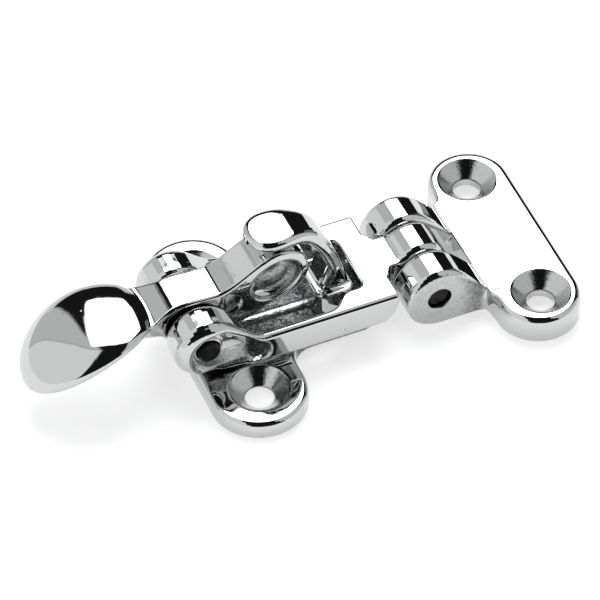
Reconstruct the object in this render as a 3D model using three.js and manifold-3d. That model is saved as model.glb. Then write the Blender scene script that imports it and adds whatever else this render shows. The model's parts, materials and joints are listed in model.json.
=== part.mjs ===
// Cam-action toggle latch for a hatch or casement: a hinged hasp arm that drops over a keeper,
// and a spoon-handled lever on the arm whose round nose pulls up under the keeper's fixed claw.
// Millimetres, +Z up. The mounting surface is Z = 0, the latch is symmetric about Y = 0, and
// X = 0 is the line through the hinge plate's two screw holes. It is drawn latched.

import * as THREE from "three";
import { mergeVertices } from "three/addons/utils/BufferGeometryUtils.js";
import Module from "manifold-3d";

const wasm = await Module();
wasm.setup();

// ---- driving dimensions ----

const SCREW = { boreRadius: 2.15, headRadius: 4.5, sinkDepth: 2.1, reliefRadius: 3.3 };
const PLATE = { holeY: 12.96, endRadius: 6.4, leftX: -7.15, thickness: 4.5, web: 3.45, edge: 0.6 };
const HINGE = { x: -14.9, z: 5.2, barrel: 5.2, innerY: 3.4, outerY: 9.2, neckX: -3.5 };
const PIN = { radius: 1.7, boreRadius: 1.82, hingeHalf: 8.6, leverHalf: 9.15 };
const ARM = { bottom: 3.5, top: 8.8, outerY: 9.2, shoulderX: -21.5, neckY: 3.1, edge: 0.7 };
const WINDOW = { endX: -25.5, endY: 5.2, flareStartX: -27.6, flareEndX: -32.4, midY: 7.85 };
const CHEEK = { innerY: 3.6, startX: -44.2, fullX: -47.6, barrel: 5.0, leftX: -60 };
const LEVER_PIVOT = { x: -51.7, z: 9.0 };
const CORE = { x: -50.3, z: 8.05, radius: 4.1, depth: 1.5, endX: -44.1, endZ: 6.0, endRadius: 1.9 };
const BOSS = { radius: 2.3, outerY: 9.0 };
const LEVER = { halfWidth: 3.3, hub: 4.5, edge: 0.3 };
const NOSE = { x: -37.9, z: 14.1, radius: 4.45, coreDepth: 1.2 };
const SPOON = { x: -67.2, halfLength: 10.4, halfWidth: 8.0, taper: 0.08, thickness: 1.1, hollow: 1.2 };
const SPOON_RIM = { height: 12.9, flatX: -60.0, fall: 0.0235 };
const SPOON_HEEL = { startX: -60.8, drop: 0.1 };
const BASE = { thickness: 2.9, web: 2.4, holeX: -45.6, holeY: 12.87, edge: 0.6 };
const EAR = { x: -45.75, radius: 7.35 };
const TONGUE = { endX: -24.0, halfWidth: 6.1, fillet: 4.2, corner: 1.6 };
const CLAW = { strapY: 2.9, padY: 3.9, tipX: -42.4, rootX: -26.9, innerX: -31.6, footZ: 8.6 };
const RIB = { leftX: -44.5, halfWidth: 0.9, corner: 0.6, top: 3.5, edge: 0.4 };
const POST = { leftX: -32.4, rightX: -26.3, halfWidth: 4.3, corner: 1.5, top: 7.8, edge: 0.6 };

const CURVE_STEPS = 9;
const PIN_SIDES = 24;
const BEYOND = 20;

// ---- chrome-plated cast finish, one material per piece ----

const CHROME = { color: 0xd4d7d9, roughness: 0.12, metalness: 1.0 };
const PIN_STEEL = { color: 0xb9bcbf, roughness: 0.3, metalness: 1.0 };

function finish(look) {
  return new THREE.MeshStandardMaterial(look);
}

// ---- solids ----

function solidFrom(geometry) {
  geometry.deleteAttribute("normal");
  geometry.deleteAttribute("uv");
  const merged = mergeVertices(geometry, 1e-4);
  const mesh = new wasm.Mesh({
    numProp: 3,
    vertProperties: new Float32Array(merged.attributes.position.array),
    triVerts: new Uint32Array(merged.index.array),
  });
  return new wasm.Manifold(mesh);
}

// The outline as plain points, with the doubled ones where two curves meet left out.
function outlineOf(shape) {
  const points = shape.getPoints(CURVE_STEPS);
  const apart = (point, i) => point.distanceTo(points[(i + 1) % points.length]) > 1e-3;
  return new THREE.Shape(points.filter(apart));
}

// A shape drawn in X and Y, raised from z0 to z1; edge rounds its top corner only.
function raised(shape, z0, z1, edge = 0) {
  const geometry = new THREE.ExtrudeGeometry(outlineOf(shape), {
    depth: z1 - z0,
    bevelEnabled: edge > 0,
    bevelThickness: edge,
    bevelSize: edge,
    bevelOffset: -edge,
    bevelSegments: 2,
  });
  const whole = solidFrom(geometry.translate(0, 0, z0 - edge));
  return edge > 0 ? whole.intersect(box(-200, 200, -200, 200, z0, z1)) : whole;
}

// A shape drawn in X and Z, spanning y0 to y1; edge rounds the corners at both ends.
function spanning(shape, y0, y1, edge = 0) {
  const geometry = new THREE.ExtrudeGeometry(outlineOf(shape), {
    depth: y1 - y0 - 2 * edge,
    bevelEnabled: edge > 0,
    bevelThickness: edge,
    bevelSize: edge,
    bevelOffset: -edge,
    bevelSegments: 2,
  });
  return solidFrom(geometry.rotateX(Math.PI / 2).translate(0, y1 - edge, 0));
}

function box(x0, x1, y0, y1, z0, z1) {
  const geometry = new THREE.BoxGeometry(x1 - x0, y1 - y0, z1 - z0);
  return solidFrom(geometry.translate((x0 + x1) / 2, (y0 + y1) / 2, (z0 + z1) / 2));
}

// A round bar along Y.
function bar(x, z, radius, y0, y1, sides = 32) {
  const geometry = new THREE.CylinderGeometry(radius, radius, y1 - y0, sides);
  return solidFrom(geometry.translate(x, (y0 + y1) / 2, z));
}

function pinBore(x, z) {
  return bar(x, z, PIN.boreRadius, -BEYOND, BEYOND, PIN_SIDES);
}

function oval(x, y, radiusX, radiusY, turn) {
  const curve = new THREE.EllipseCurve(x, y, radiusX, radiusY, 0, 2 * Math.PI, false, turn);
  return new THREE.Shape(curve.getPoints(32).slice(0, -1));
}

// The space that a countersunk screw takes, head flush with the face at z = top. Below a web of
// solid metal the hole opens out, as a casting is relieved beneath.
function screwSpace(x, y, top, web) {
  const clear = 1;
  const slope = (SCREW.headRadius - SCREW.boreRadius) / SCREW.sinkDepth;
  const profile = [
    new THREE.Vector2(0, -clear),
    new THREE.Vector2(SCREW.reliefRadius, -clear),
    new THREE.Vector2(SCREW.reliefRadius, top - web),
    new THREE.Vector2(SCREW.boreRadius, top - web),
    new THREE.Vector2(SCREW.boreRadius, top - SCREW.sinkDepth),
    new THREE.Vector2(SCREW.headRadius + slope * clear, top + clear),
    new THREE.Vector2(0, top + clear),
  ];
  const geometry = new THREE.LatheGeometry(profile, 36);
  return solidFrom(geometry.rotateX(Math.PI / 2).translate(x, y, 0));
}

// A mesh placed at its pivot, so that turning it turns the piece as the real one turns.
function pieceMesh(name, solid, look, pivot = { x: 0, z: 0 }) {
  const { vertProperties, triVerts } = solid.translate([-pivot.x, 0, -pivot.z]).getMesh();
  const geometry = new THREE.BufferGeometry();
  geometry.setAttribute("position", new THREE.BufferAttribute(new Float32Array(vertProperties), 3));
  geometry.setIndex(new THREE.BufferAttribute(new Uint32Array(triVerts), 1));
  geometry.computeVertexNormals();
  const mesh = new THREE.Mesh(geometry, finish(look));
  mesh.name = name;
  return mesh;
}

// ---- hinge plate: a screw plate with two outer knuckles ----

function platePlan() {
  const { holeY, endRadius, leftX } = PLATE;
  const shape = new THREE.Shape();
  shape.moveTo(endRadius, -holeY);
  shape.lineTo(endRadius, holeY);
  shape.absarc(0, holeY, endRadius, 0, Math.PI, false);
  shape.lineTo(leftX, HINGE.outerY + 1);
  shape.lineTo(leftX, -HINGE.outerY - 1);
  shape.lineTo(-endRadius, -holeY);
  shape.absarc(0, -holeY, endRadius, Math.PI, 2 * Math.PI, false);
  return shape;
}

// The side view of an outer knuckle: a round barrel whose shoulder falls to the plate.
function knuckleProfile() {
  const { x, z, barrel, neckX } = HINGE;
  const crest = 0.53 * Math.PI;
  const shape = new THREE.Shape();
  shape.moveTo(neckX, 0);
  shape.lineTo(neckX, PLATE.thickness - 1.3);
  shape.lineTo(-7.0, PLATE.thickness - 0.4);
  shape.lineTo(-7.4, PLATE.thickness);
  const crestX = x + barrel * Math.cos(crest);
  const crestZ = z + barrel * Math.sin(crest);
  shape.bezierCurveTo(-10.9, 9.0, -12.6, crestZ + 0.05, crestX, crestZ);
  shape.absarc(x, z, barrel, crest, 1.5 * Math.PI, false);
  shape.lineTo(neckX, 0);
  return shape;
}

function hingePlate() {
  const { x, z, innerY, outerY } = HINGE;
  let solid = raised(platePlan(), 0, PLATE.thickness, PLATE.edge);
  for (const y0 of [innerY, -outerY]) {
    solid = solid.add(spanning(knuckleProfile(), y0, y0 + outerY - innerY, 0.5));
  }
  solid = solid.subtract(pinBore(x, z));
  for (const side of [-1, 1]) {
    solid = solid.subtract(screwSpace(0, side * PLATE.holeY, PLATE.thickness, PLATE.web));
  }
  return solid.intersect(box(-200, 200, -200, 200, 0, 200));
}

// ---- hasp arm: middle knuckle, windowed plate, side rails and cheeks ----

function armProfile() {
  const { bottom, top } = ARM;
  const { x, z } = LEVER_PIVOT;
  const lift = 0.30 * Math.PI;
  const shape = new THREE.Shape();
  shape.moveTo(HINGE.x, bottom);
  shape.lineTo(HINGE.x, top);
  shape.lineTo(-42.6, top);
  const crest = new THREE.Vector2(x + CHEEK.barrel * Math.cos(lift), z + CHEEK.barrel * Math.sin(lift));
  shape.bezierCurveTo(-45.0, top, -46.2, crest.y - 1.9, crest.x, crest.y);
  shape.absarc(x, z, CHEEK.barrel, lift, 1.42 * Math.PI, false);
  shape.lineTo(x + 2.5, bottom);
  shape.lineTo(HINGE.x, bottom);
  return shape;
}

function armPlan() {
  const { outerY, shoulderX, neckY } = ARM;
  const corner = 1.2;
  const shape = new THREE.Shape();
  shape.moveTo(HINGE.x + 3, -neckY);
  shape.lineTo(HINGE.x + 3, neckY);
  shape.lineTo(shoulderX, neckY);
  shape.lineTo(shoulderX, outerY - corner);
  shape.quadraticCurveTo(shoulderX, outerY, shoulderX - corner, outerY);
  shape.lineTo(CHEEK.leftX, outerY);
  shape.lineTo(CHEEK.leftX, CHEEK.innerY);
  forkEdge(shape, 1, false);
  windowEnd(shape);
  forkEdge(shape, -1, true);
  shape.lineTo(CHEEK.leftX, -outerY);
  shape.lineTo(shoulderX - corner, -outerY);
  shape.quadraticCurveTo(shoulderX, -outerY, shoulderX, -outerY + corner);
  shape.lineTo(shoulderX, -neckY);
  shape.lineTo(HINGE.x + 3, -neckY);
  return shape;
}

// One inner side of the fork, between the lever's slot and the window's narrow end.
function forkEdge(shape, side, leftwards) {
  const { flareStartX, flareEndX, midY, endY } = WINDOW;
  const { startX, fullX, innerY, leftX } = CHEEK;
  if (leftwards) {
    const half = (flareStartX + flareEndX) / 2;
    shape.bezierCurveTo(half, side * endY, half, side * midY, flareEndX, side * midY);
    shape.lineTo(startX, side * midY);
    shape.bezierCurveTo(fullX + 1, side * midY, startX - 2, side * innerY, fullX, side * innerY);
    shape.lineTo(leftX, side * innerY);
    return;
  }
  const half = (flareStartX + flareEndX) / 2;
  shape.lineTo(fullX, side * innerY);
  shape.bezierCurveTo(startX - 2, side * innerY, fullX + 1, side * midY, startX, side * midY);
  shape.lineTo(flareEndX, side * midY);
  shape.bezierCurveTo(half, side * midY, half, side * endY, flareStartX, side * endY);
}

function windowEnd(shape) {
  const { endX, endY, flareStartX } = WINDOW;
  const corner = 1.6;
  shape.lineTo(endX - corner, endY);
  shape.quadraticCurveTo(endX, endY, endX, endY - corner);
  shape.lineTo(endX, -endY + corner);
  shape.quadraticCurveTo(endX, -endY, endX - corner, -endY);
  shape.lineTo(flareStartX, -endY);
}

// The cored pocket in a cheek's outer face, round about the pin and tapering rightwards.
function corePocket(side) {
  const shape = new THREE.Shape();
  shape.absarc(CORE.x, CORE.z, CORE.radius, 0.39 * Math.PI, 1.47 * Math.PI, false);
  shape.absarc(CORE.endX, CORE.endZ, CORE.endRadius, -0.49 * Math.PI, 0.34 * Math.PI, false);
  const floor = ARM.outerY - CORE.depth;
  const y0 = side > 0 ? floor : -BEYOND;
  return spanning(shape, y0, y0 + BEYOND - floor);
}

// The ring of metal left standing in the pocket about the pin.
function pinBoss(side) {
  const floor = ARM.outerY - CORE.depth - 0.1;
  const y0 = side > 0 ? floor : -BOSS.outerY;
  return bar(LEVER_PIVOT.x, LEVER_PIVOT.z, BOSS.radius, y0, y0 + BOSS.outerY - floor);
}

// The slanted underside of a shoulder, cut away so that the arm can swing past the knuckles.
function shoulderSlant(side) {
  const shape = new THREE.Shape();
  shape.moveTo(ARM.shoulderX + 0.5, ARM.top - 2.4);
  shape.lineTo(ARM.shoulderX - 2.8, ARM.bottom - 0.5);
  shape.lineTo(ARM.shoulderX + 0.5, ARM.bottom - 0.5);
  const y0 = side > 0 ? ARM.neckY : -BEYOND;
  return spanning(shape, y0, y0 + BEYOND - ARM.neckY);
}

function haspArm() {
  const profile = spanning(armProfile(), -ARM.outerY, ARM.outerY, ARM.edge);
  let solid = profile.intersect(raised(armPlan(), 0, 40));
  solid = solid.add(bar(HINGE.x, HINGE.z, HINGE.barrel, -ARM.neckY, ARM.neckY));
  solid = solid.subtract(pinBore(HINGE.x, HINGE.z));
  for (const side of [-1, 1]) {
    solid = solid.subtract(corePocket(side)).add(pinBoss(side));
    solid = solid.subtract(shoulderSlant(side));
  }
  return solid.subtract(pinBore(LEVER_PIVOT.x, LEVER_PIVOT.z));
}

// ---- spoon lever: thumb spoon, hub between the cheeks, shank and round nose ----

function leverProfile() {
  const { x, z } = LEVER_PIVOT;
  const low = -0.35 * Math.PI;
  const left = -0.93 * Math.PI;
  const shape = new THREE.Shape();
  shape.moveTo(-61.0, 12.4);
  shape.lineTo(-59.6, 12.9);
  shape.bezierCurveTo(-57.2, 13.2, -55.6, 14.0, -53.4, 14.2);
  shape.bezierCurveTo(-51.6, 14.35, -49.6, 13.95, -47.6, 14.0);
  shape.bezierCurveTo(-44.8, 14.8, -42.7, 16.9, -40.4, 17.8);
  shape.absarc(NOSE.x, NOSE.z, NOSE.radius, 0.66 * Math.PI, -0.42 * Math.PI, true);
  const lowX = x + LEVER.hub * Math.cos(low);
  const lowZ = z + LEVER.hub * Math.sin(low);
  shape.bezierCurveTo(-41.0, 8.4, -45.5, 6.0, lowX, lowZ);
  shape.absarc(x, z, LEVER.hub, low, left, true);
  shape.bezierCurveTo(-57.0, 9.8, -58.2, 10.9, -60.5, 11.6);
  return shape;
}

// How high the spoon's rim stands: level at the neck, then arching down towards the tip.
function rimHeight(x) {
  const past = Math.min(x - SPOON_RIM.flatX, 0);
  return SPOON_RIM.height - SPOON_RIM.fall * past * past;
}

// The spoon is a sphere drawn out into an egg-shaped dome over a shallow hollow.
function spoon() {
  const { halfLength, halfWidth, taper, thickness, hollow } = SPOON;
  const geometry = new THREE.SphereGeometry(1, 28, 14).rotateX(Math.PI / 2);
  const points = geometry.attributes.position;
  for (let i = 0; i < points.count; i += 1) {
    const u = points.getX(i);
    const v = points.getY(i);
    const w = points.getZ(i);
    const x = SPOON.x + halfLength * u;
    const crown = 1.95 - 1.6 * u + 1.2 * u * u;
    const scoop = hollow * Math.max(1 - 1.3 * (u * u + v * v), 0);
    const heel = Math.max(x - SPOON_HEEL.startX, 0);
    const dome = crown * w - Math.min(SPOON_HEEL.drop * heel * heel, crown * w);
    const height = w > 0 ? dome : scoop - thickness * Math.min(-3 * w, 1);
    const width = halfWidth * (1 - taper * u);
    points.setXYZ(i, x, width * v, rimHeight(x) + height);
  }
  return solidFrom(geometry);
}

function spoonLever() {
  const { halfWidth, edge } = LEVER;
  let solid = spanning(leverProfile(), -halfWidth, halfWidth, edge);
  solid = solid.add(spoon());
  const core = oval(NOSE.x - 0.9, NOSE.z - 0.7, 3.7, 2.7, 0.5);
  for (const side of [-1, 1]) {
    const y = side * (halfWidth - NOSE.coreDepth);
    const outer = side * (halfWidth + 1);
    solid = solid.subtract(spanning(core, Math.min(y, outer), Math.max(y, outer)));
  }
  return solid.subtract(pinBore(LEVER_PIVOT.x, LEVER_PIVOT.z));
}

// ---- keeper base: eared screw plate, tongue under the arm, post and claw ----

function basePlan() {
  const { holeY } = BASE;
  const { endX, halfWidth, fillet, corner } = TONGUE;
  const shape = new THREE.Shape();
  const rightX = EAR.x + EAR.radius;
  shape.moveTo(rightX, -holeY);
  shape.lineTo(rightX, -halfWidth - fillet);
  shape.absarc(rightX + fillet, -halfWidth - fillet, fillet, Math.PI, 0.5 * Math.PI, true);
  shape.lineTo(endX - corner, -halfWidth);
  shape.absarc(endX - corner, -halfWidth + corner, corner, -0.5 * Math.PI, 0, false);
  shape.lineTo(endX, halfWidth - corner);
  shape.absarc(endX - corner, halfWidth - corner, corner, 0, 0.5 * Math.PI, false);
  shape.lineTo(rightX + fillet, halfWidth);
  shape.absarc(rightX + fillet, halfWidth + fillet, fillet, -0.5 * Math.PI, -Math.PI, true);
  shape.lineTo(rightX, holeY);
  shape.absarc(EAR.x, holeY, EAR.radius, 0, Math.PI, false);
  shape.lineTo(EAR.x - EAR.radius, -holeY);
  shape.absarc(EAR.x, -holeY, EAR.radius, Math.PI, 2 * Math.PI, false);
  return shape;
}

function clawProfile() {
  const { rootX, innerX, footZ, tipX } = CLAW;
  const shape = new THREE.Shape();
  shape.moveTo(rootX, 1);
  shape.lineTo(rootX, footZ);
  shape.bezierCurveTo(-28.2, 13.0, -29.6, 18.0, -32.2, 19.9);
  shape.bezierCurveTo(-33.8, 21.1, -36.0, 21.5, -38.0, 21.4);
  shape.bezierCurveTo(-39.8, 21.35, -41.2, 21.3, tipX + 0.5, 21.0);
  shape.lineTo(tipX, 20.5);
  shape.lineTo(tipX, 19.9);
  shape.lineTo(tipX + 0.6, 19.45);
  shape.bezierCurveTo(-40.0, 19.5, -38.4, 19.6, -36.6, 19.4);
  shape.bezierCurveTo(-33.0, 19.0, -31.2, 15.2, -29.9, 11.4);
  shape.lineTo(innerX, footZ - 1.5);
  shape.lineTo(innerX, 1);
  return shape;
}

function roundedBlock(x0, x1, halfWidth, corner) {
  const shape = new THREE.Shape();
  shape.absarc(x1 - corner, halfWidth - corner, corner, 0, 0.5 * Math.PI, false);
  shape.absarc(x0 + corner, halfWidth - corner, corner, 0.5 * Math.PI, Math.PI, false);
  shape.absarc(x0 + corner, -halfWidth + corner, corner, Math.PI, 1.5 * Math.PI, false);
  shape.absarc(x1 - corner, -halfWidth + corner, corner, 1.5 * Math.PI, 2 * Math.PI, false);
  return shape;
}

// The strap is narrow where it leaves the post and widens into a round-ended pad.
function clawPlan() {
  const { strapY, padY, tipX, rootX } = CLAW;
  const padX = tipX + padY;
  const shape = new THREE.Shape();
  shape.moveTo(rootX + 1, -strapY);
  shape.lineTo(rootX + 1, strapY);
  shape.lineTo(-32.0, strapY);
  shape.bezierCurveTo(-34.4, strapY, -35.2, padY, padX, padY);
  shape.absarc(padX, 0, padY, 0.5 * Math.PI, 1.5 * Math.PI, false);
  shape.bezierCurveTo(-35.2, -padY, -34.4, -strapY, -32.0, -strapY);
  shape.lineTo(rootX + 1, -strapY);
  return shape;
}

function keeperBase() {
  const { thickness, web, holeX, holeY, edge } = BASE;
  let solid = raised(basePlan(), 0, thickness, edge);
  const claw = spanning(clawProfile(), -CLAW.padY, CLAW.padY).intersect(raised(clawPlan(), 1, 40));
  const { leftX, rightX, top } = POST;
  const block = roundedBlock(leftX, rightX, POST.halfWidth, POST.corner);
  const rib = roundedBlock(RIB.leftX, leftX + 1, RIB.halfWidth, RIB.corner);
  solid = solid.add(raised(block, 1, top, POST.edge));
  solid = solid.add(raised(rib, 1, RIB.top, RIB.edge)).add(claw);
  for (const side of [-1, 1]) {
    solid = solid.subtract(screwSpace(holeX, side * holeY, thickness, web));
  }
  return solid;
}

// ---- pins: the hinge pin a little short of the knuckles' faces, the lever pin nearly flush ----

function pinAt(pivot, halfLength) {
  return bar(pivot.x, pivot.z, PIN.radius, -halfLength, halfLength, PIN_SIDES);
}

// ---- assembly: keeper and hinge plate stay put, the arm turns on the plate, the lever on the arm ----

const latch = new THREE.Group();
latch.name = "toggle_bolt_latch";
latch.add(pieceMesh("hinge_plate", hingePlate(), CHROME));
latch.add(pieceMesh("hinge_pin", pinAt(HINGE, PIN.hingeHalf), PIN_STEEL));
latch.add(pieceMesh("keeper_base", keeperBase(), CHROME));

const armGroup = new THREE.Group();
armGroup.position.set(HINGE.x, 0, HINGE.z);
armGroup.add(pieceMesh("hasp_arm", haspArm(), CHROME, HINGE));
armGroup.add(pieceMesh("lever_pin", pinAt(LEVER_PIVOT, PIN.leverHalf), PIN_STEEL, HINGE));
latch.add(armGroup);

const leverGroup = new THREE.Group();
leverGroup.position.set(LEVER_PIVOT.x - HINGE.x, 0, LEVER_PIVOT.z - HINGE.z);
leverGroup.add(pieceMesh("spoon_lever", spoonLever(), CHROME, LEVER_PIVOT));
armGroup.add(leverGroup);

export default latch;
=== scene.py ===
import json
import math
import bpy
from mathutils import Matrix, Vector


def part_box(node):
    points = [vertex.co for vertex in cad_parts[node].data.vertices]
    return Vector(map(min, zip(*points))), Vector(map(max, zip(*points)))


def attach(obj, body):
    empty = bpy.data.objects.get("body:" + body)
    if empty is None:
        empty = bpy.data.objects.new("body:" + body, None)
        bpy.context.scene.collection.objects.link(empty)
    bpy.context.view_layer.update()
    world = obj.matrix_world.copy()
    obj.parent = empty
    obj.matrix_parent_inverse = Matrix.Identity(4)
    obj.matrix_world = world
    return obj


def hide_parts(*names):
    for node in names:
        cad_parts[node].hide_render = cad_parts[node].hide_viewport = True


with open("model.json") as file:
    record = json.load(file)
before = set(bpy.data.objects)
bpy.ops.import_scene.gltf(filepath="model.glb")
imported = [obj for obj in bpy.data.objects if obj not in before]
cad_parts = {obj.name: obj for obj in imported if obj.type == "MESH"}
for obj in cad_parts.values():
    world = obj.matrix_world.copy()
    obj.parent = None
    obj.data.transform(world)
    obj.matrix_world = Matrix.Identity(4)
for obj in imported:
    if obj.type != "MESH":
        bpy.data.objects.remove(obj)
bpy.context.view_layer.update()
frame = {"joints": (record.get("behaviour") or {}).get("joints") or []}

from types import SimpleNamespace as Sizes

import bpy
import numpy as np
from mathutils import Vector

# Cast and chrome-plated toggle latch. Every casting is written as a signed distance in
# millimetres (negative inside), meshed, and its points are pulled onto the exact surface,
# so that fillets are true fillets and reflections run clean over them.
#
# X runs from the keeper towards the hinge plate, Y along the hinge pin, and Z away from the
# face that both plates are screwed to. A plan is an outline in X and Y, and a side view is
# one in X and Z. "Left" is -X, and a "half" is measured from the middle. A range along X whose
# ends are positive is measured to the left, as -X.

MM = 0.001
STEP = 0.21

# ---- camera: angles, then millimetres, and the near clip in metres ----

AZIMUTH = math.radians(-23.24)
ELEVATION = math.radians(46.33)
ROLL = math.radians(-0.18)
DISTANCE = 524.6
AIM = (-32.1, 3.5, 0.0)
LENS, SENSOR = 209.0, 36.0
NEAR_CLIP = 0.01


def place_camera():
    back = Vector((math.sin(AZIMUTH) * math.cos(ELEVATION),
                   -math.cos(AZIMUTH) * math.cos(ELEVATION),
                   math.sin(ELEVATION)))
    data = bpy.data.cameras.new("view")
    data.lens = LENS
    data.sensor_width = SENSOR
    data.clip_start = NEAR_CLIP
    camera = bpy.data.objects.new("view", data)
    bpy.context.scene.collection.objects.link(camera)
    camera.location = (Vector(AIM) + back * DISTANCE) * MM
    camera.rotation_euler = back.to_track_quat("Z", "Y").to_euler()
    camera.rotation_euler.rotate_axis("Z", ROLL)
    bpy.context.scene.camera = camera


# ---- flat outlines ----

# Two points of an outline that are nearer than this are one.
DOUBLED = 1e-4


def arc(x, y, radius, start, end, steps=20):
    """Points on an arc; the angles are in degrees and may run either way."""
    angles = np.radians(np.linspace(start, end, steps))
    return [(x + radius * math.cos(a), y + radius * math.sin(a)) for a in angles]


def on_circle(centre, radius, angle):
    return arc(*centre, radius, angle, angle, 1)[0]


def bend(p0, p1, p2, p3, steps=14):
    """Points on a cubic curve, from p0 to p3."""
    t = np.linspace(0.0, 1.0, steps)[:, None]
    p0, p1, p2, p3 = (np.array(p) for p in (p0, p1, p2, p3))
    points = (1 - t) ** 3 * p0 + 3 * (1 - t) ** 2 * t * p1 + 3 * (1 - t) * t ** 2 * p2 + t ** 3 * p3
    return [tuple(p) for p in points]


def mirrored(points):
    return [(x, -y) for x, y in reversed(points)]


def outline(points):
    """The signed distance to a closed outline, as a function of two coordinates."""
    kept = [p for p, q in zip(points, points[1:] + points[:1]) if math.dist(p, q) > DOUBLED]

    def distance(u, v):
        nearest = np.inf
        inside = False
        for (x0, y0), (x1, y1) in zip(kept, kept[1:] + kept[:1]):
            ex, ey = x1 - x0, y1 - y0
            wx, wy = u - x0, v - y0
            t = np.clip((wx * ex + wy * ey) / (ex * ex + ey * ey), 0.0, 1.0)
            nearest = np.minimum(nearest, (wx - ex * t) ** 2 + (wy - ey * t) ** 2)
            above, below, left = v >= y0, v < y1, ex * wy > ey * wx
            inside = inside ^ ((above & below & left) | (~above & ~below & ~left))
        return np.where(inside, -1.0, 1.0) * np.sqrt(nearest)

    return distance


# ---- solids ----

# A fillet too small to see, where an edge stays sharp.
SHARP = 0.001


def slab(flat, across, half, edge):
    """A flat distance carried through a thickness, with its rims rounded to a radius."""
    a = flat + edge
    b = np.abs(across) - half + edge
    outside = np.hypot(np.maximum(a, 0.0), np.maximum(b, 0.0))
    return np.minimum(np.maximum(a, b), 0.0) + outside - edge


def join(a, b, fillet):
    """Both solids, with a fillet where they meet."""
    h = np.maximum(fillet - np.abs(a - b), 0.0) / fillet
    return np.minimum(a, b) - h ** 3 * fillet / 6.0


def common(a, b, rounding):
    """What both solids share, with its new edges rounded."""
    return -join(-a, -b, rounding)


def cut(a, b, rounding):
    """The first solid without the second, with its new edges rounded."""
    return -join(-a, b, rounding)


def bar(x, z, centre, radius):
    """The distance to an endless round bar along Y."""
    return np.hypot(x - centre[0], z - centre[1]) - radius


def smooth(value, low, high):
    """0 up to low, 1 from high, and a smooth step between them."""
    t = np.clip((value - low) / (high - low), 0.0, 1.0)
    return t * t * (3.0 - 2.0 * t)


def below(value, limit, fade):
    """1 well below a limit, fading to 0 at it."""
    return smooth(limit - value, 0.0, fade)


# ---- meshing ----

# How often the points are moved onto the surface, and the furthest that one goes in a pass. A
# squared slope counts as at least LEAST_SLOPE, so that a flat spot doesn't throw a point away.
PASSES = 4
LONGEST_MOVE = 0.5 * STEP
LEAST_SLOPE = 0.05

CORNERS = np.array([(i, j, k) for i in (0, 1) for j in (0, 1) for k in (0, 1)])
EDGES = [(a, b) for a in range(8) for b in range(a + 1, 8)
         if np.abs(CORNERS[a] - CORNERS[b]).sum() == 1]


def surface_net(values, low, step):
    """One point in each cell that the surface crosses, and one four-sided face per crossed edge."""
    inside = values < 0.0
    counts = sum(inside[i:inside.shape[0] - 1 + i, j:inside.shape[1] - 1 + j,
                        k:inside.shape[2] - 1 + k].astype(np.int8) for i, j, k in CORNERS)
    cells = np.argwhere((counts > 0) & (counts < 8))
    number = np.full(counts.shape, -1, np.int64)
    number[tuple(cells.T)] = np.arange(len(cells))
    at_corner = [values[tuple((cells + c).T)] for c in CORNERS]
    total = np.zeros((len(cells), 3))
    crossings = np.zeros(len(cells))
    for a, b in EDGES:
        crossed = (at_corner[a] < 0.0) != (at_corner[b] < 0.0)
        span = np.where(crossed, at_corner[a] - at_corner[b], 1.0)
        t = (at_corner[a] / span)[:, None]
        total += np.where(crossed[:, None], CORNERS[a] + t * (CORNERS[b] - CORNERS[a]), 0.0)
        crossings += crossed
    points = low + (cells + total / crossings[:, None]) * step

    faces = []
    for axis in range(3):
        u, v = (axis + 1) % 3, (axis + 2) % 3
        ahead = np.diff(inside.astype(np.int8), axis=axis)
        for sign in (1, -1):
            start = np.argwhere(ahead == sign)
            start = start[(start[:, u] > 0) & (start[:, v] > 0)]
            ring = []
            for du, dv in ((0, 0), (1, 0), (1, 1), (0, 1)):
                cell = start.copy()
                cell[:, u] -= du
                cell[:, v] -= dv
                ring.append(number[tuple(cell.T)])
            faces.append(np.stack(ring if sign < 0 else ring[::-1], axis=1))
    return points, np.concatenate(faces)


def slope(solid, points, reach=0.01):
    """The gradient of a solid's distance at points."""
    parts = []
    for axis in range(3):
        shift = np.zeros(3)
        shift[axis] = reach
        ahead = solid(*(points + shift).T)
        behind = solid(*(points - shift).T)
        parts.append((ahead - behind) / (2.0 * reach))
    return np.stack(parts, axis=1)


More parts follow.
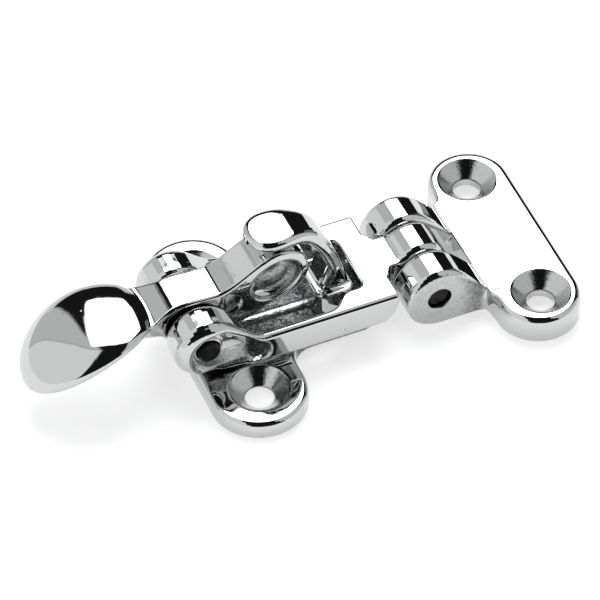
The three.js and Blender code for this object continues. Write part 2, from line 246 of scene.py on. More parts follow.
def casting(name, solid, rough, low, high):
    """A mesh piece for a solid inside a box, its points settled on the exact surface.

    Each point keeps a mask from 0 to 1 for the finish to read: how far its surface was left as cast,
    which roughens it, and how much painted shade darkens its colour.
    """
    low = np.array(low, float) - 2.0 * STEP
    sides = [np.arange(a, b + 3.0 * STEP, STEP) for a, b in zip(low, high)]
    grid = np.meshgrid(*sides, indexing="ij", sparse=True)
    values = np.broadcast_to(solid(*grid), [len(s) for s in sides])
    points, faces = surface_net(values, low, STEP)
    for _ in range(PASSES):
        gradient = slope(solid, points)
        size = np.maximum((gradient ** 2).sum(axis=1), LEAST_SLOPE)
        move = gradient * (solid(*points.T) / size)[:, None]
        points -= np.clip(move, -LONGEST_MOVE, LONGEST_MOVE)
    normals = slope(solid, points)
    normals /= np.maximum(np.linalg.norm(normals, axis=1), 1e-9)[:, None]

    mesh = bpy.data.meshes.new(name)
    mesh.vertices.add(len(points))
    mesh.vertices.foreach_set("co", (points * MM).ravel())
    mesh.loops.add(faces.size)
    mesh.loops.foreach_set("vertex_index", faces.ravel().astype(np.int32))
    mesh.polygons.add(len(faces))
    mesh.polygons.foreach_set("loop_start", np.arange(0, faces.size, 4, dtype=np.int32))
    mesh.polygons.foreach_set("use_smooth", np.ones(len(faces), bool))
    mesh.update(calc_edges=True)
    mesh.validate()
    mesh.normals_split_custom_set_from_vertices(normals.tolist())
    # The mask roughens the surface where it was left as cast and darkens its colour with painted
    # shade.
    cast_and_shade = mesh.attributes.new("cast_and_shade", "FLOAT", "POINT")
    cast_and_shade.data.foreach_set("value", rough(*points.T).astype(np.float32))
    piece = bpy.data.objects.new(name, mesh)
    bpy.context.scene.collection.objects.link(piece)
    return piece


# ---- shared sizes, millimetres ----


def pivot(joint):
    """A joint's centre in the side view, from the frame."""
    x, _, z = next(j["pos_m"] for j in frame["joints"] if j["name"] == joint)
    return round(x / MM, 4), round(z / MM, 4)


HINGE, LEVER_PIVOT = pivot("arm_hinge"), pivot("lever_hinge")
SCREW = Sizes(bore=2.1, head=4.5, sink=2.1, sink_over=0.4, sink_under=0.6, sink_fillet=0.35,
              relief=3.3, rim=0.3)
PIN = Sizes(radius=1.7, bore=1.85, hinge_half=8.6, lever_half=9.15, edge=0.3)
KNUCKLE = Sizes(barrel=5.2, inner=3.4, outer=9.2, edge=0.35, edge_gain=0.75, edge_rise=(3.5, 8.5))
WALL = Sizes(bulge=0.28, top_rim=0.65)
BORE_RIM, CHEEK_BORE_RIM, FOOT_RIM = 0.2, 0.15, 0.3


def screw_hole(x, y, z, centre_x, centre_y, top, web):
    """A countersunk through hole; below the web of metal it opens out under the casting."""
    radius = np.hypot(x - centre_x, y - centre_y)
    flare = (SCREW.head - SCREW.bore) / SCREW.sink
    lean = 1.0 / math.hypot(1.0, flare)
    cone = (radius - SCREW.head - np.minimum(z - top, SCREW.sink_over) * flare) * lean
    sink = np.maximum(cone, top - SCREW.sink - SCREW.sink_under - z)
    hole = join(radius - SCREW.bore, sink, SCREW.sink_fillet)
    return join(hole, np.maximum(radius - SCREW.relief, z - top + web), SHARP)


def plaque(flat, z, top, edge):
    """A plate whose wall bulges out from a crisp top rim, as a cast and linished face has."""
    return common(slab(flat, z, top + WALL.bulge * edge, edge), z - top, WALL.top_rim)


def knuckle(side, z, across, half):
    """A hinge knuckle from its side view; its edges grow rounder as they rise."""
    edge = KNUCKLE.edge + KNUCKLE.edge_gain * smooth(z, *KNUCKLE.edge_rise)
    return slab(side, across, half, edge)


# ---- hinge plate ----

PLATE = Sizes(hole_y=12.96, top=4.5, web=3.45, left=-7.15, left_half=10.2, neck=-3.5, foot=-1.0)
# The plate's two round ends: centre X, centre Y and radius.
PLATE_NEAR_END, PLATE_FAR_END = (-0.4, -12.6, 6.5), (0.25, 12.75, 6.4)
# The wall is square where the knuckles join it and bulges elsewhere.
PLATE_WALL = Sizes(edge=0.2, edge_gain=1.8, joined_x=(2.5, 5.5), joined_half=11.5, joined_fade=2.0)
KNUCKLE_FILLET = Sizes(low=1.8, loss=1.5, rise=(2.5, 4.0))


def knuckle_outline():
    """The side view of an outer knuckle: round barrel, then a shoulder sloping to the plate."""
    x, z = HINGE
    return outline([(PLATE.neck, PLATE.foot), (PLATE.neck, 3.2), (-7.0, 4.1)]
                   + bend((-7.4, 4.5), (-10.9, 9.0), (-12.6, 10.45), (-15.2, z + KNUCKLE.barrel), 16)
                   + arc(x, z, KNUCKLE.barrel, 96, 262) + [(x, PLATE.foot)])


knuckle_side = knuckle_outline()
plate_plan = outline(arc(*PLATE_NEAR_END, 180, 360, 40) + arc(*PLATE_FAR_END, 0, 180, 40)
                     + [(-6.6, 10.7), (PLATE.left, PLATE.left_half), (PLATE.left, -PLATE.left_half)])


def hinge_plate(x, y, z):
    beside = below(np.abs(y), PLATE_WALL.joined_half, PLATE_WALL.joined_fade)
    joined = smooth(-x, *PLATE_WALL.joined_x) * beside
    wall = PLATE_WALL.edge + PLATE_WALL.edge_gain * (1.0 - joined)
    solid = plaque(plate_plan(x, y), z, PLATE.top, wall)
    half = (KNUCKLE.outer - KNUCKLE.inner) / 2.0
    middle = (KNUCKLE.outer + KNUCKLE.inner) / 2.0
    knuckles = knuckle(knuckle_side(x, z), z, np.abs(y) - middle, half)
    fillet = KNUCKLE_FILLET.low - KNUCKLE_FILLET.loss * smooth(z, *KNUCKLE_FILLET.rise)
    solid = join(solid, knuckles, fillet)
    solid = cut(solid, bar(x, z, HINGE, PIN.bore), BORE_RIM)
    for side in (-1, 1):
        hole = screw_hole(x, y, z, 0.0, side * PLATE.hole_y, PLATE.top, PLATE.web)
        solid = cut(solid, hole, SCREW.rim)
    return common(solid, -z, FOOT_RIM)


# ---- hasp arm ----

ARM = Sizes(bottom=3.5, top=8.8, half=9.2, shoulder=-21.5, neck_half=3.1, edge=0.85)
CHEEK = Sizes(radius=5.0, inner=3.6, crest=54.0, grows=(42.5, 48.0), edge_gain=0.95)
FORK = Sizes(right=-25.5, right_half=5.2, half=7.85, beyond=-70.0, rim=0.7, rim_gain=1.3)
GUSSET = Sizes(width=1.7, grows=(20.2, 21.6), rim=0.5)
MIDDLE_FILLET = 0.8
# The cored pocket in a cheek's outer face, wide about the pin and tapering to the right: its
# two round ends, each as centre X, centre Z and radius, then how it is sunk into the face.
POCKET_HEAD, POCKET_TAIL = (-50.3, 8.05, 4.1), (-44.1, 6.0, 1.9)
POCKET = Sizes(past_face=1.0, half=2.5, edge=0.9, rim=0.9)
BOSS = Sizes(radius=2.2, middle=6.9, half=1.5, edge=0.25, fillet=0.6)


def arm_outline():
    x, z = LEVER_PIVOT
    crest = on_circle(LEVER_PIVOT, CHEEK.radius, CHEEK.crest)
    return outline([(HINGE[0], ARM.bottom), (HINGE[0], ARM.top)]
                   + bend((-42.4, ARM.top), (-45.0, ARM.top), (-46.2, crest[1] - 2.0), crest)
                   + arc(x, z, CHEEK.radius, CHEEK.crest, 256) + [(x + 2.5, ARM.bottom)])


def fork_outline():
    """The arm's inner edge in plan: the window, its flare, the rails and the slot between cheeks."""
    right, narrow, wide, slot = FORK.right, FORK.right_half, FORK.half, CHEEK.inner
    side = ([(right, 0.0)]
            + bend((right, 3.6), (right, 4.9), (-25.8, narrow), (-27.1, narrow), 8)
            + bend((-27.6, narrow), (-30.0, narrow), (-30.0, wide), (-32.4, wide))
            + bend((-43.8, wide), (-46.4, wide), (-45.8, slot), (-47.8, slot))
            + [(FORK.beyond, slot)])
    return outline(side + mirrored(side))


arm_side, fork_plan = arm_outline(), fork_outline()
pocket_side = outline(arc(*POCKET_HEAD, 70, 265) + arc(*POCKET_TAIL, -88, 62))
# The middle knuckle: the same barrel and shoulder, cut short of the plate.
middle_side = outline([(-9.8, 2.6), (-10.1, 5.0)]
                      + bend((-10.2, 5.6), (-11.4, 9.0), (-12.8, 10.45), (-15.2, 10.4), 12)
                      + arc(*HINGE, KNUCKLE.barrel, 96, 330))
shoulder_side = outline([(-12.0, 12.0), (ARM.shoulder, 12.0), (ARM.shoulder, 7.4), (-22.2, 5.4),
                         (-24.3, 3.2), (-24.3, 0.0), (-12.0, 0.0)])


def hasp_arm(x, y, z):
    cheek = smooth(-x, *CHEEK.grows)
    solid = slab(arm_side(x, z), y, ARM.half, ARM.edge + CHEEK.edge_gain * cheek)
    gusset = GUSSET.width * smooth(-x, *GUSSET.grows)
    shoulders = np.maximum(shoulder_side(x, z), ARM.neck_half + gusset - np.abs(y))
    solid = cut(solid, shoulders, GUSSET.rim)
    solid = cut(solid, fork_plan(x, y), FORK.rim + FORK.rim_gain * cheek)
    solid = join(solid, knuckle(middle_side(x, z), z, y, ARM.neck_half), MIDDLE_FILLET)
    solid = cut(solid, bar(x, z, HINGE, PIN.bore), BORE_RIM)
    sunk = np.abs(y) - ARM.half - POCKET.past_face
    solid = cut(solid, slab(pocket_side(x, z), sunk, POCKET.half, POCKET.edge), POCKET.rim)
    boss = slab(bar(x, z, LEVER_PIVOT, BOSS.radius), np.abs(y) - BOSS.middle, BOSS.half, BOSS.edge)
    solid = join(solid, boss, BOSS.fillet)
    return cut(solid, bar(x, z, LEVER_PIVOT, PIN.bore), CHEEK_BORE_RIM)


# ---- spoon lever ----

LEVER = Sizes(half=3.3, hub=4.5, hub_low=-63, hub_left=-168, edge=0.5, neck=1.3,
              neck_grows=(54.5, 59.5))
NOSE, NOSE_RADIUS = (-37.9, 14.1), 4.45
SPOON = Sizes(x=-67.2, half_length=10.4, half_width=8.0, taper=0.08, lip=1.0, edge=0.4, fillet=0.3)
# The rim's height, level to the right of flat_x and falling away as a parabola to its left.
RIM = Sizes(height=12.9, flat_x=-60.0, fall=0.0235)
# The dome's height over the rim, as a quadratic along the spoon, and how far it runs below it.
CROWN = Sizes(height=1.95, lean=1.6, curve=1.2, below=0.3)
# Where the dome sinks, as a parabola from x to the right, to meet the lever's neck.
HEEL = Sizes(x=-60.8, reach=3.6, drop=0.1)
# The metal at the rim, then the hollow under the dome.
HOLLOW = Sizes(thickness=1.1, depth=1.2, spread=1.3)
# Steep-walled bowls in the nose's two faces, each with a low dome on its floor. Both are turned
# with the nose's axis and set back from its centre; their semi-axes are along, across and deep.
BOWL = Sizes(turn=math.radians(32), back_x=0.9, back_z=0.7, long=4.1, wide=3.2, deep=1.9,
             out=0.3, rim=0.4)
DOME = Sizes(long=2.5, wide=1.9, deep=0.9, sunk=1.7, fillet=0.3)


def lever_outline():
    x, z = LEVER_PIVOT
    hub_low = on_circle(LEVER_PIVOT, LEVER.hub, LEVER.hub_low)
    hub_left = on_circle(LEVER_PIVOT, LEVER.hub, LEVER.hub_left)
    return outline([(-62.0, 12.2), (-59.6, 12.9)]
                   + bend((-58.6, 12.95), (-57.2, 13.2), (-55.6, 14.0), (-53.4, 14.2))
                   + bend((-53.4, 14.2), (-51.6, 14.35), (-49.6, 13.95), (-47.6, 14.0))
                   + bend((-47.2, 14.1), (-44.8, 14.8), (-42.7, 16.9), (-40.4, 17.8))
                   + arc(*NOSE, NOSE_RADIUS, 119, -76, 30)
                   + bend((-36.8, 9.7), (-41.0, 8.4), (-45.5, 6.0), hub_low)
                   + arc(x, z, LEVER.hub, LEVER.hub_low, LEVER.hub_left)
                   + bend(hub_left, (-57.0, 9.8), (-58.2, 10.9), (-61.5, 11.5)))


lever_side = lever_outline()


def spoon(x, y, z):
    """An egg-shaped dome over a shallow hollow, arching down towards its tip."""
    u = (x - SPOON.x) / SPOON.half_length
    v = y / (SPOON.half_width * (1.0 - SPOON.taper * np.clip(u, -1.2, 1.2)))
    reach = np.minimum(x - RIM.flat_x, 0.0)
    rim = RIM.height - RIM.fall * reach * reach
    crown = CROWN.height - CROWN.lean * u + CROWN.curve * u * u
    flat = u * u + v * v
    drop = HEEL.drop * np.clip(x - HEEL.x, 0.0, HEEL.reach) ** 2
    above = np.maximum(z + drop - rim, -CROWN.below)
    top = (np.sqrt(flat + (above / crown) ** 2) - 1.0) * crown
    hollow = HOLLOW.depth * np.maximum(1.0 - HOLLOW.spread * flat, 0.0)
    under = rim - HOLLOW.thickness + hollow - z
    edge = (np.sqrt(flat) - 1.0) * SPOON.half_width
    return common(common(top, under, SPOON.lip), edge, SPOON.edge)


def nose_faces(x, y, z):
    """The bowls and the domes in the nose's faces."""
    right, up = x - NOSE[0] + BOWL.back_x, z - NOSE[1] + BOWL.back_z
    u = right * math.cos(BOWL.turn) + up * math.sin(BOWL.turn)
    w = up * math.cos(BOWL.turn) - right * math.sin(BOWL.turn)
    depth = np.abs(y) - LEVER.half
    across = ((u / BOWL.long) ** 2 + (w / BOWL.wide) ** 2) ** 2
    bowl = (across + ((depth - BOWL.out) / BOWL.deep) ** 4) ** 0.25 - 1.0
    dome = np.sqrt((u / DOME.long) ** 2 + (w / DOME.wide) ** 2
                   + ((depth + DOME.sunk) / DOME.deep) ** 2) - 1.0
    return BOWL.deep * bowl, DOME.deep * dome


def spoon_lever(x, y, z):
    neck = LEVER.neck * smooth(-x, *LEVER.neck_grows)
    solid = slab(lever_side(x, z), y, LEVER.half + neck, LEVER.edge)
    solid = join(solid, spoon(x, y, z), SPOON.fillet)
    bowls, domes = nose_faces(x, y, z)
    solid = join(cut(solid, bowls, BOWL.rim), domes, DOME.fillet)
    return cut(solid, bar(x, z, LEVER_PIVOT, PIN.bore), BORE_RIM)


# ---- keeper base ----

BASE = Sizes(top=2.9, web=2.4, hole_x=-45.6, wall=1.6)
EAR = Sizes(x=-45.75, y=12.87, radius=7.35)
TONGUE = Sizes(right=-24.0, half=6.1, fillet=4.2, corner=1.6)
CLAW = Sizes(root=-26.9, inner=-31.6, tip=-42.5, pad_half=3.9, strap_half=2.9, rim=1.9, fillet=0.9)
POST = Sizes(left=-32.4, right=-26.3, half=4.3, corner=1.5, top=7.8, edge=0.5, fillet=1.0)
RIB = Sizes(x=-38.0, half=6.5, z=2.45, radius=1.1, fillet=0.4)


def base_outline():
    hollow = (EAR.x + EAR.radius + TONGUE.fillet, TONGUE.half + TONGUE.fillet)
    corner = (TONGUE.right - TONGUE.corner, TONGUE.half - TONGUE.corner)
    side = (arc(*corner, TONGUE.corner, 0, 90, 6)
            + arc(*hollow, TONGUE.fillet, 270, 180, 12)
            + arc(EAR.x, EAR.y, EAR.radius, 0, 180, 32))
    return outline(side + mirrored(side))


def claw_outline():
    """The claw in side view: up from the base, over to its tip, and back along its underside."""
    return outline([(CLAW.root, 0.0)]
                   + bend((CLAW.root, 8.6), (-28.2, 13.0), (-29.6, 18.0), (-32.2, 19.9))
                   + bend((-32.2, 19.9), (-33.8, 21.1), (-36.0, 21.5), (-38.0, 21.4))
                   + bend((-38.0, 21.4), (-39.8, 21.35), (-41.2, 21.3), (CLAW.tip, 21.1), 8)
                   + bend((CLAW.tip, 19.3), (-40.0, 19.5), (-38.4, 19.6), (-36.6, 19.4), 8)
                   + bend((-36.6, 19.4), (-33.0, 19.0), (-31.2, 15.2), (-29.9, 11.4))
                   + [(CLAW.inner, 6.9), (CLAW.inner, 0.0)])


def strap_outline():
    """The claw in plan: narrow where it leaves the post, widening to a round-ended pad."""
    pad = CLAW.tip + CLAW.pad_half
    side = ([(-25.0, CLAW.strap_half)]
            + bend((-32.0, CLAW.strap_half), (-34.4, CLAW.strap_half), (-35.2, CLAW.pad_half),
                   (pad, CLAW.pad_half))
            + arc(pad, 0.0, CLAW.pad_half, 90, 180, 16))
    return outline(side + mirrored(side))


def post_outline():
    corner_y = POST.half - POST.corner
    side = (arc(POST.right - POST.corner, corner_y, POST.corner, 0, 90, 6)
            + arc(POST.left + POST.corner, corner_y, POST.corner, 90, 180, 6))
    return outline(side + mirrored(side))


base_plan, claw_side = base_outline(), claw_outline()
strap_plan, post_plan = strap_outline(), post_outline()


def keeper_base(x, y, z):
    solid = plaque(base_plan(x, y), z, BASE.top, BASE.wall)
    solid = join(solid, slab(post_plan(x, y), z, POST.top, POST.edge), POST.fillet)
    rib = np.maximum(np.hypot(y, z - RIB.z) - RIB.radius, np.abs(x - RIB.x) - RIB.half)
    solid = join(solid, rib, RIB.fillet)
    claw = common(claw_side(x, z), strap_plan(x, y), CLAW.rim)
    solid = join(solid, claw, CLAW.fillet)
    for side in (-1, 1):
        hole = screw_hole(x, y, z, BASE.hole_x, side * EAR.y, BASE.top, BASE.web)
        solid = cut(solid, hole, SCREW.rim)
    return common(solid, -z, FOOT_RIM)


# ---- pins ----


def hinge_pin(x, y, z):
    return slab(bar(x, z, HINGE, PIN.radius), y, PIN.hinge_half, PIN.edge)


def lever_pin(x, y, z):
    return slab(bar(x, z, LEVER_PIVOT, PIN.radius), y, PIN.lever_half, PIN.edge)


# ---- surfaces left as cast, which no wheel reaches, and darkened with painted shade where they lie under or inside the parts: from 0, polished and unshaded, to 1 ----

# Each mask's amount sets both the as-cast roughness and the depth of the painted shade.
CAST_SHADE_HOLE = Sizes(amount=0.16, fade=0.25)
CAST_SHADE_KNUCKLE = Sizes(amount=0.22, gain=0.5, face=(8.9, 9.15), left=(7.4, 8.4),
                     towards_plate=(-12.0, -8.5))
CAST_SHADE_BASE = Sizes(amount=0.95, half=8.4, half_fade=1.2, top=3.7, top_fade=0.5, left=(-46.5, -44.5))
CAST_SHADE_WINDOW = Sizes(amount=0.7, loss=0.4, half=8.3, half_fade=0.4, top=7.6, top_fade=0.8,
                    begins=(24.0, 26.0), fork=(41.0, 43.0))
CAST_SHADE_UNDERSIDE = Sizes(top=9.5, top_fade=2.0, left=(-58.0, -54.0))
CAST_SHADE_BOWL = Sizes(amount=0.5, radius=4.2, fade=0.5, inside=(0.1, 0.5))


def in_screw_hole(x, y, centre_x, centre_y):
    return below(np.hypot(x - centre_x, np.abs(y) - centre_y), SCREW.head, CAST_SHADE_HOLE.fade)


def cast_and_shade_on_plate(x, y, z):
    """The knuckles' outer faces, the more so beside the plate, and the screw holes: rougher, and
    darkened with painted shade.
    """
    face = smooth(np.abs(y), *CAST_SHADE_KNUCKLE.face) * smooth(-x, *CAST_SHADE_KNUCKLE.left)
    by_plate = CAST_SHADE_KNUCKLE.amount + CAST_SHADE_KNUCKLE.gain * smooth(x, *CAST_SHADE_KNUCKLE.towards_plate)
    return np.maximum(face * by_plate, CAST_SHADE_HOLE.amount * in_screw_hole(x, y, 0.0, PLATE.hole_y))


def cast_and_shade_under_hasp(x, y, z):
    """The base under the hasp arm, and the screw holes: rougher, and darkened with painted shade."""
    hidden = below(np.abs(y), CAST_SHADE_BASE.half, CAST_SHADE_BASE.half_fade)
    hidden = hidden * below(z, CAST_SHADE_BASE.top, CAST_SHADE_BASE.top_fade) * smooth(x, *CAST_SHADE_BASE.left)
    return np.maximum(CAST_SHADE_BASE.amount * hidden,
                      CAST_SHADE_HOLE.amount * in_screw_hole(x, y, BASE.hole_x, EAR.y))


def cast_and_shade_in_arm(x, y, z):
    """The window's walls and the underside beside them, less so between the cheeks: rougher, and
    darkened with painted shade.
    """
    window = below(np.abs(y), CAST_SHADE_WINDOW.half, CAST_SHADE_WINDOW.half_fade)
    window = window * below(z, CAST_SHADE_WINDOW.top, CAST_SHADE_WINDOW.top_fade)
    in_fork = CAST_SHADE_WINDOW.amount - CAST_SHADE_WINDOW.loss * smooth(-x, *CAST_SHADE_WINDOW.fork)
    return window * smooth(-x, *CAST_SHADE_WINDOW.begins) * in_fork


def cast_and_shade_on_lever(x, y, z):
    """The lever's underside and the bowls in the nose: rougher, and darkened with painted shade."""
    under = below(z, CAST_SHADE_UNDERSIDE.top, CAST_SHADE_UNDERSIDE.top_fade)
    under = under * smooth(x, *CAST_SHADE_UNDERSIDE.left)
    bowl = below(np.hypot(x - NOSE[0], z - NOSE[1]), CAST_SHADE_BOWL.radius, CAST_SHADE_BOWL.fade)
    bowl = bowl * smooth(LEVER.half - np.abs(y), *CAST_SHADE_BOWL.inside)
    return np.maximum(under, CAST_SHADE_BOWL.amount * bowl)


def no_cast(x, y, z):
    return np.zeros_like(x)


# ---- materials ----

# A noise is its scale per metre, its detail and, where given, its roughness. A bump is its
# strength and its height in metres. Colours are linear.
CHROME = Sizes(wave=(240.0, 2.0), ripple=(1100.0, 2.0), fine=(2600.0, 3.0, 0.6),
               grain=(1900.0, 5.0, 0.65), pits_per_metre=420.0, pit_range=(0.02, 0.08),
               grain_range=(0.4, 0.62), fine_range=(0.3, 0.7), gloss=(0.02, 0.06), cast_gloss=0.16,
               wave_bump=(0.35, 0.00008), ripple_bump=(0.12, 0.00002), pit_bump=(0.35, 0.00004),
               cast_bump=(0.8, 0.0003))
PLATING, PIT = (0.575, 0.58, 0.58), (0.16, 0.16, 0.155)
# The as-cast patches' mottle runs between these two, far darker than the plating: painted shade.
SHADED_CAST_LIGHT, SHADED_CAST_DARK = (0.31, 0.315, 0.32), (0.02, 0.02, 0.022)
STEEL = Sizes(grime=(900.0, 4.0), grime_range=(0.35, 0.65), dark=(0.008, 0.008, 0.008),
              light=(0.03, 0.03, 0.03), rough_range=(0.3, 0.7), rough=(0.32, 0.5),
              bump=(0.3, 0.00005))
FLOOR = Sizes(mottle=(6.0, 2.0), dark=(0.60, 0.60, 0.60), light=(0.62, 0.62, 0.62), rough=0.9,
              glow=0.62, size=6.0, below=0.0001)
WHITE = (1.0, 1.0, 1.0, 1.0)


def node_tree(material):
    material.use_nodes = True
    nodes = material.node_tree.nodes
    return nodes, material.node_tree.links, nodes["Principled BSDF"]


def noise(nodes, links, source, scale, detail=4.0, roughness=0.5):
    texture = nodes.new("ShaderNodeTexNoise")
    texture.inputs["Scale"].default_value = scale
    texture.inputs["Detail"].default_value = detail
    texture.inputs["Roughness"].default_value = roughness
    links.new(source, texture.inputs["Vector"])
    return texture.outputs["Fac"]


def spread(nodes, links, source, low, high, to_low, to_high):
    scale = nodes.new("ShaderNodeMapRange")
    scale.inputs["From Min"].default_value = low
    scale.inputs["From Max"].default_value = high
    scale.inputs["To Min"].default_value = to_low
    scale.inputs["To Max"].default_value = to_high
    links.new(source, scale.inputs["Value"])
    return scale.outputs["Result"]


def tint(nodes, links, source, dark, light):
    mix = nodes.new("ShaderNodeMix")
    mix.data_type = "RGBA"
    mix.inputs["A"].default_value = (*dark, 1.0)
    mix.inputs["B"].default_value = (*light, 1.0)
    links.new(source, mix.inputs["Factor"])
    return mix.outputs["Result"]


def bump(nodes, links, height, strength, distance, onto=None):
    node = nodes.new("ShaderNodeBump")
    node.inputs["Strength"].default_value = strength
    node.inputs["Distance"].default_value = distance
    links.new(height, node.inputs["Height"])
    if onto is not None:
        links.new(onto, node.inputs["Normal"])
    return node.outputs["Normal"]


def object_place(nodes):
    return nodes.new("ShaderNodeTexCoord").outputs["Object"]


def pitted(nodes, links, place):
    """1 on the plating and 0 in small, scattered pits."""
    cells = nodes.new("ShaderNodeTexVoronoi")
    cells.inputs["Scale"].default_value = CHROME.pits_per_metre
    links.new(place, cells.inputs["Vector"])
    return spread(nodes, links, cells.outputs["Distance"], *CHROME.pit_range, 0.0, 1.0)


def chrome():
    """Polished chrome plate over a casting, with a slow wave, fine pits, and as-cast patches that
    are rougher and darkened with painted shade.
    """
    material = bpy.data.materials.new("chrome_plate")
    nodes, links, shader = node_tree(material)
    place = object_place(nodes)
    # This mask marks as-cast roughness and painted shade alike.
    rough = nodes.new("ShaderNodeAttribute")
    rough.attribute_name = "cast_and_shade"
    wave = noise(nodes, links, place, *CHROME.wave)
    ripple = noise(nodes, links, place, *CHROME.ripple)
    fine = noise(nodes, links, place, *CHROME.fine)
    grain = noise(nodes, links, place, *CHROME.grain)
    pits = pitted(nodes, links, place)

    bright = tint(nodes, links, pits, PIT, PLATING)
    # Where the mask rises, the plating's colour gives way to a near-black mottle: painted shade
    # under and inside the parts.
    mottle = spread(nodes, links, grain, *CHROME.grain_range, 0.0, 1.0)
    mottle = tint(nodes, links, mottle, SHADED_CAST_DARK, SHADED_CAST_LIGHT)
    cast_and_shade_patch = nodes.new("ShaderNodeMix")
    cast_and_shade_patch.data_type = "RGBA"
    links.new(rough.outputs["Fac"], cast_and_shade_patch.inputs["Factor"])
    links.new(bright, cast_and_shade_patch.inputs["A"])
    links.new(mottle, cast_and_shade_patch.inputs["B"])
    links.new(cast_and_shade_patch.outputs["Result"], shader.inputs["Base Color"])

    gloss = nodes.new("ShaderNodeMix")
    links.new(rough.outputs["Fac"], gloss.inputs["Factor"])
    links.new(spread(nodes, links, fine, *CHROME.fine_range, *CHROME.gloss), gloss.inputs["A"])
    gloss.inputs["B"].default_value = CHROME.cast_gloss
    links.new(gloss.outputs["Result"], shader.inputs["Roughness"])
    shader.inputs["Metallic"].default_value = 1.0

    normal = bump(nodes, links, wave, *CHROME.wave_bump)
    normal = bump(nodes, links, ripple, *CHROME.ripple_bump, normal)
    normal = bump(nodes, links, pits, *CHROME.pit_bump, normal)
    coarse = nodes.new("ShaderNodeMath")
    coarse.operation = "MULTIPLY"
    links.new(grain, coarse.inputs[0])
    links.new(rough.outputs["Fac"], coarse.inputs[1])
    normal = bump(nodes, links, coarse.outputs["Value"], *CHROME.cast_bump, normal)
    links.new(normal, shader.inputs["Normal"])
    return material


def pin_steel():
    """A dark, unplated pin, mottled with grime."""
    material = bpy.data.materials.new("pin_steel")
    nodes, links, shader = node_tree(material)
    grime = noise(nodes, links, object_place(nodes), *STEEL.grime)
    colour = spread(nodes, links, grime, *STEEL.grime_range, 0.0, 1.0)
    links.new(tint(nodes, links, colour, STEEL.dark, STEEL.light), shader.inputs["Base Color"])
    roughness = spread(nodes, links, grime, *STEEL.rough_range, *STEEL.rough)
    links.new(roughness, shader.inputs["Roughness"])
    shader.inputs["Metallic"].default_value = 1.0
    links.new(bump(nodes, links, grime, *STEEL.bump), shader.inputs["Normal"])
    return material


def pale_floor():
    material = bpy.data.materials.new("pale_floor")
    nodes, links, shader = node_tree(material)
    mottle = noise(nodes, links, object_place(nodes), *FLOOR.mottle)
    links.new(tint(nodes, links, mottle, FLOOR.dark, FLOOR.light), shader.inputs["Base Color"])
    shader.inputs["Roughness"].default_value = FLOOR.rough
    shader.inputs["Emission Color"].default_value = WHITE
    shader.inputs["Emission Strength"].default_value = FLOOR.glow
    return material


# ---- the assembly ----

# Each piece: its solid, its mask of as-cast roughness and painted shade, its body and its finish.
PIECES = {
    "hinge_plate": (hinge_plate, cast_and_shade_on_plate, "mounted", "chrome_casting"),
    "keeper_base": (keeper_base, cast_and_shade_under_hasp, "mounted", "chrome_casting"),
    "hasp_arm": (hasp_arm, cast_and_shade_in_arm, "arm", "chrome_casting"),
    "spoon_lever": (spoon_lever, cast_and_shade_on_lever, "lever", "chrome_casting"),
    "hinge_pin": (hinge_pin, no_cast, "mounted", "pin_steel"),
    "lever_pin": (lever_pin, no_cast, "arm", "pin_steel"),
}
finishes = {"chrome_casting": chrome(), "pin_steel": pin_steel()}
# How far past its CAD solid's box a casting is looked for, in millimetres.
MARGIN = 1.6

for node, (solid, rough, body, finish) in PIECES.items():
    low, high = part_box(node)
    low = [v / MM - MARGIN for v in low]
    high = [v / MM + MARGIN for v in high]
    piece = casting("cast_" + node, solid, rough, low, high)
    piece.data.materials.append(finishes[finish])
    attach(piece, body)
    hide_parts(node)


# ---- stage and light ----


def floor():
    bpy.ops.mesh.primitive_plane_add(size=FLOOR.size, location=(0.0, 0.0, -FLOOR.below))
    plane = bpy.context.object
    plane.name = "floor"
    plane.data.materials.append(pale_floor())


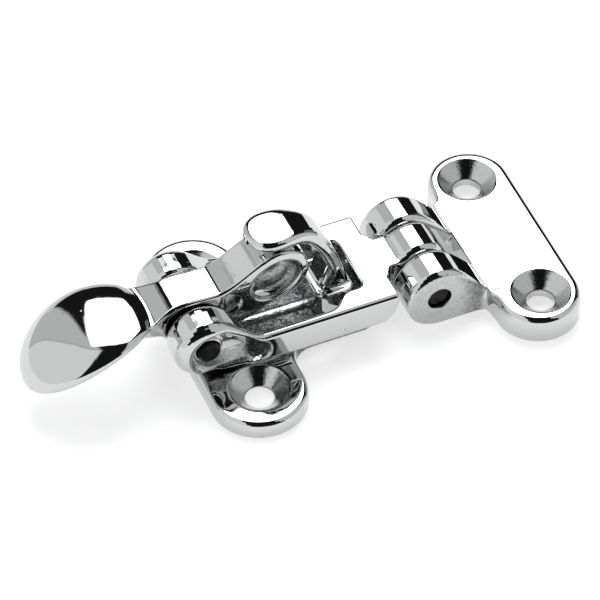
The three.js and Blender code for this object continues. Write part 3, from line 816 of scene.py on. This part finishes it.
# Cards around the latch, each with its corners as azimuth and elevation in degrees, clockwise
# as seen from the latch, and its brightness. Azimuth 0 is beyond it, on +Y, and turns to +X.
CARDS = {
    "left_wall": ([(-138, 8), (-37, 75.2), (-37, -8), (-138, -8)], 1.0),
    "left_return": ([(-37, 75.2), (-11, 41), (-11, -8), (-37, -8)], 0.72),
    "low_wall": ([(-14, 11), (38, 12), (44, -8), (-14, -8)], 0.90),
    "back_wall": ([(7, 14), (36, 16), (38, 0), (8, 0)], 0.85),
    "right_wall": ([(71, 74), (158, 58), (152, -8), (84, -8)], 0.75),
    "dim_corner": ([(60, 26), (76, 28), (80, -8), (58, -8)], 0.22),
    "softbox": ([(-29, 66), (66, 73), (60, 52), (38, 37), (3, 36)], 5.0),
}
# The brightness between the cards, their light's tint, and the half width of a card's soft edge,
# as the sine of its angle.
DARK = 0.012
STUDIO_TINT = (0.985, 1.0, 1.0, 1.0)
CARD_EDGE = 0.018


def bearing(azimuth, elevation):
    a, e = math.radians(azimuth), math.radians(elevation)
    return Vector((math.sin(a) * math.cos(e), math.cos(a) * math.cos(e), math.sin(e)))


def card_mask(nodes, links, source, corners):
    """A soft-edged mask that is 1 inside the flat card whose corners lie on these bearings."""
    mask = None
    ways = [bearing(*corner) for corner in corners]
    for here, ahead in zip(ways, ways[1:] + ways[:1]):
        side = nodes.new("ShaderNodeVectorMath")
        side.operation = "DOT_PRODUCT"
        side.inputs[1].default_value = here.cross(ahead).normalized()
        links.new(source, side.inputs[0])
        within = spread(nodes, links, side.outputs["Value"], -CARD_EDGE, CARD_EDGE, 0.0, 1.0)
        if mask is None:
            mask = within
            continue
        both = nodes.new("ShaderNodeMath")
        both.operation = "MULTIPLY"
        links.new(mask, both.inputs[0])
        links.new(within, both.inputs[1])
        mask = both.outputs["Value"]
    return mask


def studio():
    world = bpy.data.worlds.new("studio")
    bpy.context.scene.world = world
    world.use_nodes = True
    nodes, links = world.node_tree.nodes, world.node_tree.links
    source = nodes.new("ShaderNodeTexCoord").outputs["Generated"]
    level = None
    for corners, brightness in CARDS.values():
        mix = nodes.new("ShaderNodeMix")
        mix.inputs["A"].default_value = DARK
        mix.inputs["B"].default_value = brightness
        if level is not None:
            links.new(level, mix.inputs["A"])
        links.new(card_mask(nodes, links, source, corners), mix.inputs["Factor"])
        level = mix.outputs["Result"]
    links.new(level, nodes["Background"].inputs["Strength"])
    nodes["Background"].inputs["Color"].default_value = STUDIO_TINT


bpy.context.scene.view_settings.view_transform = "Standard"
floor()
studio()
place_camera()
